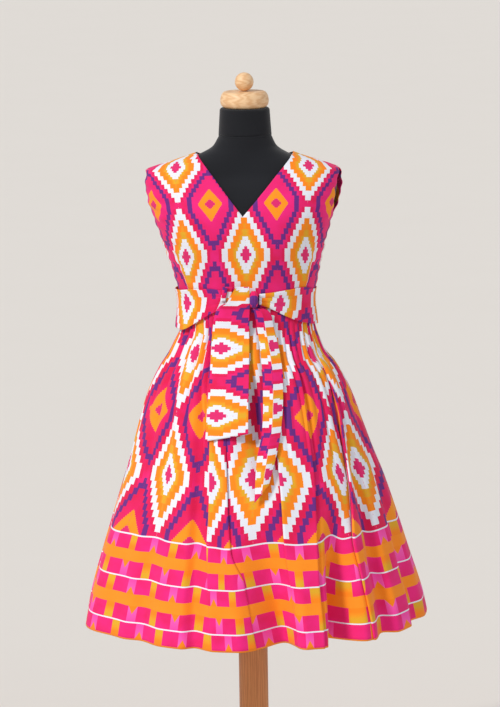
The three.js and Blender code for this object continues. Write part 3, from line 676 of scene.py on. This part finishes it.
def sash_loop():
    """A turned corner: a back layer, a round turn and a front layer, leaning to the right."""
    z = np.linspace(LOOP["bottom"], LOOP["top"], 28)[:, None]
    shift = LOOP["lean"] * (z - LOOP["bottom"]) / (LOOP["top"] - LOOP["bottom"])
    turn_x = LOOP["fold"] + LOOP["turn"]

    def sash_y(x):
        out = 2 * WALL + column(SASH_OUT, "out", z) + SASH_PLEATS["depth"]
        return figure(angle_at(x, z), z, out)[..., 1]

    back_y = sash_y(LOOP["fold"] + 0 * z) - LOOP["gap"] - WALL / 2
    back_x = np.linspace(LOOP["back"], turn_x, 14)[None, :] + 0 * z
    back_layer = back_y - (sash_y(LOOP["fold"] + 0 * z) - sash_y(back_x))
    turn = np.radians(np.linspace(90, 270, 14)[1:-1])[None, :] + 0 * z
    turn_y = back_y - LOOP["turn"] + LOOP["turn"] * np.sin(turn)
    front_x = np.linspace(turn_x, LOOP["front"], 10)[None, :] + 0 * z
    front_y = back_y - 2 * LOOP["turn"] + 0 * front_x
    x = np.concatenate([back_x, turn_x + LOOP["turn"] * np.cos(turn), front_x], 1) + shift
    y = np.concatenate([back_layer, turn_y, front_y], 1)
    point = np.stack([x, y, z + 0 * x], -1)
    cloth = np.stack([20 + z + 0 * x - LOOP["bottom"], 35 + path_length(point, 1)], -1)
    return point, cloth * MM


# ---- shaders ----

class Value:
    """A node's output. Python's operators on it add Math nodes."""

    def __init__(self, shader, socket):
        self.shader, self.socket = shader, socket

    def out(self, name):
        """Another output of the same node."""
        return Value(self.shader, self.socket.node.outputs[name])

    def math(self, operation, *others):
        inputs = dict(enumerate((self, *others)))
        return self.shader.node("ShaderNodeMath", {"operation": operation}, inputs)

    def within(self, low=0.0, high=1.0):
        return self.math("MAXIMUM", low).math("MINIMUM", high)

    __add__ = __radd__ = partialmethod(math, "ADD")
    __sub__ = partialmethod(math, "SUBTRACT")
    __mul__ = partialmethod(math, "MULTIPLY")
    __truediv__ = partialmethod(math, "DIVIDE")
    __lt__ = partialmethod(math, "LESS_THAN")
    __gt__ = partialmethod(math, "GREATER_THAN")

    def __rsub__(self, other):
        return (self * -1) + other


class Shader:
    """A material's nodes, built from expressions."""

    def __init__(self, name):
        self.material = bpy.data.materials.new(name)
        self.material.use_nodes = True
        self.tree = self.material.node_tree
        self.tree.nodes.clear()

    def node(self, kind, settings=None, inputs=None):
        """A new node with its settings and inputs, as its first output if it has any."""
        node = self.tree.nodes.new(kind)
        for key, value in (settings or {}).items():
            setattr(node, key, value)
        for key, value in (inputs or {}).items():
            if isinstance(value, Value):
                self.tree.links.new(value.socket, node.inputs[key])
            else:
                node.inputs[key].default_value = value
        return Value(self, node.outputs[0]) if node.outputs else None

    def blend(self, share, a, b, mode="MIX"):
        """Colour a turned into colour b by share."""
        settings = {"data_type": "RGBA", "blend_type": mode}
        return self.node("ShaderNodeMix", settings, {0: share, 6: a, 7: b}).out(2)

    def cloth_place(self):
        """The cloth's map, and its X and Y apart."""
        place = self.node("ShaderNodeUVMap", {"uv_map": "cloth"})
        parts = self.node("ShaderNodeSeparateXYZ", None, {0: place})
        return place, parts.out("X"), parts.out("Y")

    def object_place(self):
        return self.node("ShaderNodeTexCoord").out("Object")

    def noise(self, place, scale, detail=2.0, roughness=0.5):
        inputs = {"Vector": place, "Scale": scale, "Detail": detail, "Roughness": roughness}
        return self.node("ShaderNodeTexNoise", None, inputs).out("Fac")

    def finish(self, inputs, height=None, distance=0.0005, strength=1.0):
        if height is not None:
            bump = {"Height": height, "Distance": distance, "Strength": strength}
            inputs["Normal"] = self.node("ShaderNodeBump", None, bump)
        surface = self.node("ShaderNodeBsdfPrincipled", None, inputs)
        self.node("ShaderNodeOutputMaterial", None, {"Surface": surface})
        return self.material


def linear(red, green, blue):
    """A screen colour of 0 to 255 as scene light."""
    share = np.array([red, green, blue]) / 255
    light = np.where(share <= 0.04045, share / 12.92, ((share + 0.055) / 1.055) ** 2.4)
    return (*light.tolist(), 1.0)


def stairs(distance, edges):
    """Sum of the given amounts past each edge: a staircase."""
    return sum((distance > edge) * amount for edge, amount in edges)


# The diamonds, in millimetres from the middle of each one: half widths, and the heights where
# they step.
WHITE = {"steps": 8, "step_width": 6.35, "step_height": 14.4, "line": 2}
CORE = {"half": 20.4, "step_width": 3.6, "step_height": 8.3, "top": 41.5}
HEART = {"half": 3.2, "top": 19, "wider": ((13, 4.1), (4, 4.5))}
RING = {"half": 47, "band": 10, "tip": 90}
RING_STEPS = [(22.5, 5), (36, 6), (49.5, 6), (63, 6), (76.5, 6), (90, 6), (101, 8), (112, 4)]
GEM = {"skirt": (31.0, 46.0), "plain": (24.0, 44.0), "sash": (24.0, 44.0)}
GEM_STEP, GEM_HEART = 4, (10, 13)
# The threads' wave and the knit's, in radians a metre.
THREADS, KNIT_ROWS = 5200, 4200
# Painted shade: how much more crimson each kind of cloth's ground is made, because this cloth looks
# redder in shade.
PAINTED_SHADE_CRIMSON = {"skirt": 0.3, "plain": 0.0, "sash": 0.1}


def printed_cotton(name, dress, kind):
    """Stepped diamonds in rows, and on the skirt a border of bars under them. The map is in
    metres of cloth, and the distances below are in millimetres: a from the middle of the
    nearest white diamond, b from the middle of the nearest outlined one."""
    shader = Shader(name)
    paint = {key: tuple(getattr(dress, key)) for key in PAINTS}
    place, u, v = shader.cloth_place()
    width, height = dress.motif_width / MM, dress.motif_height / MM
    weave = shader.noise(place, 900.0, 3.0, 0.6)
    drift = shader.noise(place, 24.0, 2.0)
    wobble = (shader.noise(place, 260.0, 1.0) - 0.5) * 1.6
    a_u = (u / MM).math("PINGPONG", width / 2)
    a_v = (v / MM).math("PINGPONG", height / 2)
    b_u, b_v = width / 2 - a_u + wobble, height / 2 - a_v
    a_u = a_u + wobble

    # the white diamond, its fill and its core
    level = WHITE["steps"] - ((a_v - 0.8) / WHITE["step_height"]).math("FLOOR")
    half = level.within(0.0, WHITE["steps"]) * WHITE["step_width"]
    in_white = a_u < half
    in_fill = a_u < half - WHITE["line"] * WHITE["step_width"]
    ochre = ((half - 22 - a_u + (drift - 0.5) * 8) / 7).within()
    core = CORE["half"] - (a_v / CORE["step_height"]).math("FLOOR") * CORE["step_width"]
    in_core = a_u < core * (a_v < CORE["top"])
    heart = HEART["half"] + sum((a_v < edge) * more for edge, more in HEART["wider"])
    in_heart = a_u < heart * (a_v < HEART["top"])

    # the outlined diamond, its outline, its gem and the gem's heart
    ring = RING["half"] - stairs(b_v, RING_STEPS)
    in_ring = b_u < ring
    in_band = in_ring * ((b_u > ring - RING["band"]) + (b_v > RING["tip"])).math("MINIMUM", 1.0)
    stepped = (b_v / GEM_STEP).math("FLOOR") * GEM_STEP

    def in_small_diamond(half_width, half_height):
        return b_u < (1 - stepped / half_height) * half_width * (b_v < half_height)

    # painted shade: the skirt's and the sash's ground is pushed towards crimson more than the
    # bodice's
    ground_mix = (drift - 0.32) * 2.2 + (a_v / 62).math("MINIMUM", 1.0) * 0.25 - 0.1 + PAINTED_SHADE_CRIMSON[kind]
    ground = shader.blend(ground_mix.within(), paint["pink"], paint["crimson"])
    edge = (a_u < half + WHITE["step_width"]) * (half > 1)
    ground = shader.blend(edge * 0.75, ground, paint["crimson"])
    # painted shade again inside the outlined diamonds: more crimson on the skirt and the sash
    inside = b_v / RING["tip"] * 0.6 + b_u / RING["half"] * 0.35 + drift - 0.6 + PAINTED_SHADE_CRIMSON[kind] * 1.5
    inside = shader.blend(inside.within(), paint["pink"], paint["crimson"])
    colour = shader.blend(in_ring, ground, inside)
    gem = shader.blend(drift, paint["orange"], linear(250, 158, 30))
    fill = shader.blend(ochre, paint["orange"], paint["ochre"])
    for where, layer in ((in_band, paint["purple"]),
                         (in_small_diamond(*GEM[kind]), gem),
                         (in_small_diamond(*GEM_HEART), paint["magenta"]),
                         (in_white, paint["white"]),
                         (in_fill, fill),
                         (in_core * in_fill, paint["white"]),
                         (in_heart * in_fill, paint["magenta"])):
        colour = shader.blend(where, colour, layer)
    if kind == "skirt":
        colour = bordered(shader, paint, colour, u, v, drift)

    thread_tone = shader.blend(weave, (0.9, 0.9, 0.9, 1), (1.06, 1.06, 1.06, 1))
    threads = ((u * THREADS).math("SINE") + (v * THREADS).math("SINE")) * 0.25 + weave
    return shader.finish({"Base Color": shader.blend(1.0, colour, thread_tone, "MULTIPLY"),
                          "Roughness": 0.72 + weave * 0.14, "Sheen Weight": 0.08,
                          "Sheen Roughness": 0.5, "Specular IOR Level": 0.25},
                         threads, 0.00008, 0.5)


# Rows of bars from the hem up: lower and upper edge in parts of the border's height, which end
# meets the orange band, and where the pale bars stand, in millimetres.
BORDER_ROWS = [
    (1.5, 17.2, "low", 73), (18.2, 34.5, "high", 56), (46.5, 62.0, "low", 46),
    (63.2, 79.5, "high", 23), (91.0, 106.0, "low", 70),
]
BORDER_LINES = [(17.0, 18.4), (62.0, 63.4), (105.8, 107.4)]
BORDER_REPEAT, BORDER_PARTS, BORDER_TOP = 84, 107, -126
BAR_HALF = 0.085


def bordered(shader, paint, colour, u, v, drift):
    """Two orange bands with rows of bars beside them, and three thin white lines."""
    height = (v - PRINT_HEM * MM) * (BORDER_PARTS / ((BORDER_TOP - PRINT_HEM) * MM))
    pattern = shader.blend(drift, paint["orange"], linear(255, 150, 34))
    pink = shader.blend((drift - 0.35) * 1.8, paint["pink"], paint["crimson"])
    for low, high, band_end, offset in BORDER_ROWS:
        place = (u / (BORDER_REPEAT * MM) - (offset / BORDER_REPEAT - 0.5)).math("FRACT")
        rise = (height - low) / (high - low)
        toward = (rise if band_end == "low" else 1 - rise).within()
        from_lilac = (place - 0.5).math("ABSOLUTE")
        lilac = shader.blend(toward, linear(250, 100, 190), linear(250, 70, 165))
        ochre = shader.blend(((toward - 0.25) * 2.2).within(), paint["orange"], paint["ochre"])
        row = shader.blend(from_lilac < BAR_HALF, pink, lilac)
        row = shader.blend((from_lilac / BAR_HALF + toward / 0.5) < 1, row, paint["orange"])
        row = shader.blend(from_lilac > 0.5 - BAR_HALF, row, ochre)
        pattern = shader.blend((height > low) * (height < high), pattern, row)
    for low, high in BORDER_LINES:
        pattern = shader.blend((height > low) * (height < high), pattern, paint["white"])
    return shader.blend(height < BORDER_LINES[-1][1], colour, pattern)


def black_jersey():
    """Fine knit: rows of small ribs with a little fuzz."""
    shader = Shader("black jersey")
    place = shader.object_place()
    fuzz = shader.noise(place, 900.0, 3.0, 0.7)
    cloud = shader.noise(place, 9.0, 2.0)
    parts = shader.node("ShaderNodeSeparateXYZ", None, {0: place})
    rib = (parts.out("Z") * KNIT_ROWS).math("SINE")
    colour = shader.blend(cloud * 0.6 + fuzz * 0.4, linear(14, 15, 19), linear(30, 32, 38))
    return shader.finish({"Base Color": colour, "Roughness": 0.86 + fuzz * 0.12,
                          "Sheen Weight": 0.25, "Sheen Roughness": 0.4,
                          "Specular IOR Level": 0.3},
                         rib * 0.3 + fuzz, 0.00012, 0.6)


def wood(name, light, dark, ring_scale, along):
    """Growth rings seen along the grain, with fine pores and a thin lacquer."""
    shader = Shader(name)
    grain = shader.node("ShaderNodeVectorMath", {"operation": "MULTIPLY"},
                        {0: shader.object_place(), 1: along})
    warp = shader.noise(grain, 2.6, 3.0)
    wave = shader.node("ShaderNodeTexWave", {"wave_type": "BANDS", "bands_direction": "X"},
                       {"Vector": grain, "Scale": ring_scale, "Distortion": 9.0, "Detail": 3.0,
                        "Detail Scale": 1.6}).out("Fac")
    pores = shader.noise(grain, 42.0, 4.0, 0.65)
    share = wave * 0.5 + warp * 0.55 - 0.1 + (pores - 0.5) * 0.25
    return shader.finish({"Base Color": shader.blend(share.within(), light, dark),
                          "Roughness": 0.42 + pores * 0.12, "Specular IOR Level": 0.5},
                         pores, 0.0003, 0.35)


# ---- settings ----

def swatch(name, colour, description):
    return bpy.props.FloatVectorProperty(name=name, description=description, size=4, min=0, max=1,
                                         subtype="COLOR", default=colour)


def length_setting(name, description, default, low, high):
    return bpy.props.FloatProperty(name=name, description=description, default=default, min=low,
                                   max=high, unit="LENGTH")


def place_setting(name, description, default):
    return bpy.props.FloatVectorProperty(name=name, description=description, default=default,
                                         subtype="XYZ", unit="LENGTH")


PAINTS = ("pink", "crimson", "magenta", "purple", "orange", "ochre", "white")


class DressSettings(bpy.types.PropertyGroup):
    """Sizes and colours of the dress"""
    cloth_wall: length_setting("Cloth thickness", "Thickness of the printed cotton",
                               0.0012, 0.0004, 0.003)
    motif_width: length_setting("Motif width", "From one diamond to the next along a row",
                                MOTIF_WIDTH * MM, 0.05, 0.4)
    motif_height: length_setting("Motif height", "From one row of diamonds to the next but one",
                                 MOTIF_HEIGHT * MM, 0.05, 0.6)
    pink: swatch("Pink", linear(240, 34, 128), "Ground of the print")
    crimson: swatch("Crimson", linear(222, 18, 78), "Darker ground of the print")
    magenta: swatch("Magenta", linear(222, 40, 110), "Heart of each diamond")
    purple: swatch("Purple", linear(105, 40, 130), "Outline of every second diamond")
    orange: swatch("Orange", linear(250, 136, 20), "Outer fill and bands")
    ochre: swatch("Ochre", linear(226, 168, 36), "Inner fill and bars")
    white: swatch("White", linear(230, 233, 243), "Stepped outlines and lines")


class StudioSettings(bpy.types.PropertyGroup):
    """Floor, lights and camera"""
    floor_colour: swatch("Floor", linear(226, 221, 214), "Colour of the plain floor")
    camera_place: place_setting("Camera", "Where the camera stands", (0.0, -7.0, 2.25))
    camera_target: place_setting("Target", "Where the camera looks", (0.003, 0.0, 0.993))
    camera_roll: bpy.props.FloatProperty(
        name="Roll", description="Turn of the camera", default=math.radians(-0.9),
        subtype="ANGLE")
    camera_lens: bpy.props.FloatProperty(
        name="Lens", description="Focal length in millimetres", default=181.0, min=20, max=400)


# ---- operators ----

COTTONS = {"plain": "printed cotton", "skirt": "printed cotton with border",
           "sash": "printed cotton across"}


class PrintedPiece:
    """What the operators of printed pieces share."""
    bl_options = {"REGISTER", "UNDO"}

    def dressed(self, context, kind, pieces):
        """Gives pieces the cotton of a kind, which is made once."""
        name = COTTONS[kind]
        cotton = bpy.data.materials.get(name) or printed_cotton(name, context.scene.dress, kind)
        for piece in pieces:
            finished(piece, cotton)
        return {"FINISHED"}


class DRESS_OT_bodice(PrintedPiece, bpy.types.Operator):
    """Build the front of the bodice and the two halves of its back"""
    bl_idname = "dress.bodice"
    bl_label = "Bodice"

    def execute(self, context):
        wall = context.scene.dress.cloth_wall
        halves = [bodice_half(front_neck_angle, True, -1, ARMHOLE_REACH["front_left"]),
                  bodice_half(front_neck_angle, True, 1, ARMHOLE_REACH["front_right"])]
        front = cloth_piece("bodice_front", *zip(*halves), wall)
        pieces = [front]
        for name, side in (("back_left", -1), ("back_right", 1)):
            gape = ARMHOLE_GAPE if side > 0 else 0.0
            point, cloth = bodice_half(back_neck_angle, False, side, ARMHOLE_REACH[name], gape)
            point[..., 0] += side * SEAM_SHIFT
            back = cloth_piece(f"bodice_{name}", [point], [cloth], wall)
            pieces.append(back)
        return self.dressed(context, "plain", pieces)


class DRESS_OT_skirt(PrintedPiece, bpy.types.Operator):
    """Build the gathered front and back of the skirt"""
    bl_idname = "dress.skirt"
    bl_label = "Skirt"

    def execute(self, context):
        wall = context.scene.dress.cloth_wall
        pieces = []
        for name, first, last, creases, shift in (
                ("skirt_front", -90, 90, FRONT_CREASES, -SEAM_SHIFT),
                ("skirt_back", 90, 270, BACK_CREASES, SEAM_SHIFT)):
            point, cloth = skirt_panel(first, last, creases, shift)
            piece = cloth_piece(name, [point], [cloth], wall)
            pieces.append(piece)
        return self.dressed(context, "skirt", pieces)


class DRESS_OT_sash(PrintedPiece, bpy.types.Operator):
    """Build the sash: three stretches, the knot, the loop and the two hanging ends"""
    bl_idname = "dress.sash"
    bl_label = "Sash"

    def execute(self, context):
        wall = context.scene.dress.cloth_wall
        pieces = []
        for name, edges, columns, pleated, start, flat, area in (
                ("sash_left", SASH_LEFT, 140, True, -58, (0.205, 0.088), 0.0115),
                ("sash_right", SASH_RIGHT, 130, True, -43.5, (0.178, 0.082), 0.01),
                ("sash_back", SASH_BACK, 150, False, 200, (0.374, 0.075), 0.028)):
            point, cloth = sash_stretch(edges, columns, pleated, start)
            piece = cloth_piece(name, [point], [cloth], wall)
            pieces.append(piece)
        for name, (point, cloth), flat in (("sash_knot", sash_knot(), (0.08, 0.02)),
                                           ("sash_loop", sash_loop(), (0.032, 0.028))):
            piece = cloth_piece(name, [point], [cloth], wall)
            pieces.append(piece)
        for name, (point, cloth), flat, area in (
                ("sash_tail_wide", hanging_end(WIDE_END, WIDE_FORM, WIDE_PRINT),
                 (0.087, 0.32), 0.0228),
                ("sash_tail_narrow", hanging_end(NARROW_END, NARROW_FORM, NARROW_PRINT),
                 (0.048, 0.37), 0.0142)):
            piece = cloth_piece(name, [point], [cloth], wall)
            pieces.append(piece)
        return self.dressed(context, "sash", pieces)


class DRESS_OT_form(bpy.types.Operator):
    """Build the covered torso and neck of the dress form"""
    bl_idname = "dress.form"
    bl_label = "Dress form"
    bl_options = {"REGISTER", "UNDO"}

    def execute(self, context):
        z = np.concatenate([[FORM_BOTTOM], np.linspace(FORM_BOTTOM + 4, SHOULDER_TIP, 90),
                            np.linspace(SHOULDER_TIP, NECK_SEAM, 34)[1:]])[:, None]
        turn = np.linspace(0, 360, 120, endpoint=False)
        ease = FORM_EASE * (1 - smoothstep(z, SHOULDER_TIP, NECK_SEAM))
        rings = figure(turn, z, -ease, FORM_DROP)
        torso = closed_rings("form_torso_cover", rings, "form_torso")
        bottom, edge = NECK_SEAM + STACK_GAP, 5
        side = [(NECK_RADIUS - 0.9, bottom), (NECK_RADIUS, bottom + 1.2)]
        side += [(mixed(NECK_RADIUS, NECK_TOP_RADIUS, t), mixed(bottom, NECK_TOP - edge, t))
                 for t in np.linspace(0.1, 0.97, 8)]
        top = arc_profile(NECK_TOP_RADIUS - edge, NECK_TOP - edge, edge, count=9)
        neck = revolved("form_neck_cover", side + top + [(20, NECK_TOP)], 96, "form_neck")
        jersey = black_jersey()
        for piece in (torso, neck):
            finished(piece, jersey)
        return {"FINISHED"}


def cap_profile():
    """A cap with a flat top and bottom between half an oval, which bulges below the middle."""
    bottom = NECK_TOP + STACK_GAP
    middle, top = bottom + CAP["height"] * 0.4, bottom + CAP["height"]
    bulge = CAP["radius"] - CAP["flat"]
    side = [(CAP["flat"] + bulge * math.cos(a),
             middle + (middle - bottom if a < 0 else top - middle) * math.sin(a))
            for a in np.radians(np.linspace(-90, 90, 29))]
    return [(12, bottom), *side, (12, top)]


def pole_profile():
    low, high, edge = BASE["height"] + STACK_GAP, FORM_BOTTOM - STACK_GAP, 1.5
    side = [(POLE_RADIUS, z) for z in np.linspace(low + 8, high - 8, 14)]
    return [(POLE_RADIUS - edge, low), (POLE_RADIUS, low + edge), *side,
            (POLE_RADIUS, high - edge), (POLE_RADIUS - edge, high)]


def foot_profile():
    radius, height, edge = BASE["radius"], BASE["height"], BASE["edge"]
    side = [(radius - 2, 0), (radius, 2), (radius, 10)]
    top = [(r, height) for r in (186, 120, 60)]
    return side + arc_profile(radius - edge, height - edge, edge) + top


class DRESS_OT_stand(bpy.types.Operator):
    """Turn the cap, the ball, the pole and the foot of the stand"""
    bl_idname = "dress.stand"
    bl_label = "Stand"
    bl_options = {"REGISTER", "UNDO"}

    def execute(self, context):
        pale = wood("pale wood", linear(240, 203, 158), linear(206, 152, 100), 5.0, (3, 3, 14))
        warm = wood("turned wood", linear(214, 146, 84), linear(178, 108, 56), 7.0, (9, 9, 0.8))
        centre = NECK_TOP + CAP["height"] + 2 * STACK_GAP + BALL_RADIUS
        ball = arc_profile(0, centre, BALL_RADIUS, -86, 86, 33)
        for node, profile, sides, material, slot in (
                ("neck_cap", cap_profile(), 96, pale, "pale_wood"),
                ("finial_ball", ball, 64, pale, "pale_wood"),
                ("stand_pole", pole_profile(), 72, warm, "turned_wood"),
                ("stand_base", foot_profile(), 128, warm, "turned_wood")):
            finished(revolved(f"{node}_turned", profile, sides, node), material)
        return {"FINISHED"}


# The lights' name, place, strength, softness in degrees, and colour.
SUNS = [("key light", (-1.15, -1.0, 1.25), 2.2, 12, (1.0, 0.97, 0.93)),
        ("fill light", (1.0, -0.9, 0.6), 0.3, 60, (0.95, 0.97, 1.0))]
SKY_COLOUR, SKY_STRENGTH = (0.93, 0.95, 1.0, 1), 0.55
FLOOR_RINGS, FLOOR_SIDES, FLOOR_DROP = (50, 500, 1500, 4000, 10000, 40000), 64, 0.5


class DRESS_OT_studio(bpy.types.Operator):
    """Lay the floor and set the lights and the camera"""
    bl_idname = "dress.studio"
    bl_label = "Studio"
    bl_options = {"REGISTER", "UNDO"}

    def execute(self, context):
        studio = context.scene.studio
        radius = np.array(FLOOR_RINGS, float)[:, None]
        turn = np.linspace(0, 2 * np.pi, FLOOR_SIDES, endpoint=False)
        x, y = radius * np.cos(turn), radius * np.sin(turn)
        points = np.stack([x, y, np.full_like(x, -FLOOR_DROP)], -1).reshape(-1, 3)
        faces = grid_quads(*x.shape, wraps=True)[:, ::-1].tolist()
        floor = new_object("floor", points, faces)
        shader = Shader("pale floor")
        cloud = shader.noise(shader.object_place(), 3.0, 3.0)
        shade = shader.blend(cloud * 0.12, tuple(studio.floor_colour), linear(212, 206, 198))
        floor.data.materials.append(shader.finish({"Base Color": shade, "Roughness": 0.9}))
        world = bpy.data.worlds.new("soft light")
        world.use_nodes = True
        light = world.node_tree.nodes["Background"]
        light.inputs["Color"].default_value = SKY_COLOUR
        light.inputs["Strength"].default_value = SKY_STRENGTH
        context.scene.world = world
        for sun in SUNS:
            self.sun(context, *sun)
        self.camera(context, studio)
        return {"FINISHED"}

    def sun(self, context, name, place, strength, softness, colour):
        data = bpy.data.lights.new(name, "SUN")
        data.energy, data.angle, data.color = strength, math.radians(softness), colour
        obj = bpy.data.objects.new(name, data)
        obj.rotation_euler = Vector(place).to_track_quat("Z", "Y").to_euler()
        obj.location = Vector(place) * 3
        context.scene.collection.objects.link(obj)

    def camera(self, context, studio):
        data = bpy.data.cameras.new("camera")
        data.lens, data.sensor_width = studio.camera_lens, 36
        data.sensor_height, data.sensor_fit = 36, "AUTO"
        obj = bpy.data.objects.new("camera", data)
        place, target = Vector(studio.camera_place), Vector(studio.camera_target)
        turn = (place - target).to_track_quat("Z", "Y").to_matrix().to_4x4()
        roll = Matrix.Rotation(studio.camera_roll, 4, "Z")
        obj.matrix_world = Matrix.Translation(place) @ turn @ roll
        context.scene.collection.objects.link(obj)
        context.scene.camera = obj
        context.scene.view_settings.view_transform = "Standard"


class DRESS_PT_panel(bpy.types.Panel):
    """Settings and pieces of the dress"""
    bl_idname = "DRESS_PT_panel"
    bl_label = "Dress"
    bl_space_type = "VIEW_3D"
    bl_region_type = "UI"
    bl_category = "Dress"

    def draw(self, context):
        for settings in (context.scene.dress, context.scene.studio):
            box = self.layout.box()
            for name in settings.bl_rna.properties.keys():
                if name not in ("rna_type", "name"):
                    box.prop(settings, name)
        for operator in OPERATORS:
            self.layout.operator(operator.bl_idname)


OPERATORS = (DRESS_OT_form, DRESS_OT_stand, DRESS_OT_bodice, DRESS_OT_skirt, DRESS_OT_sash,
             DRESS_OT_studio)
CLASSES = (DressSettings, StudioSettings, *OPERATORS, DRESS_PT_panel)


def register():
    for cls in CLASSES:
        bpy.utils.register_class(cls)
    bpy.types.Scene.dress = bpy.props.PointerProperty(type=DressSettings)
    bpy.types.Scene.studio = bpy.props.PointerProperty(type=StudioSettings)


def unregister():
    del bpy.types.Scene.dress, bpy.types.Scene.studio
    for cls in reversed(CLASSES):
        bpy.utils.unregister_class(cls)


def main():
    register()
    bpy.ops.dress.form()
    bpy.ops.dress.stand()
    bpy.ops.dress.bodice()
    bpy.ops.dress.skirt()
    bpy.ops.dress.sash()
    bpy.ops.dress.studio()
    bpy.context.view_layer.update()


if __name__ == "__main__":
    main()
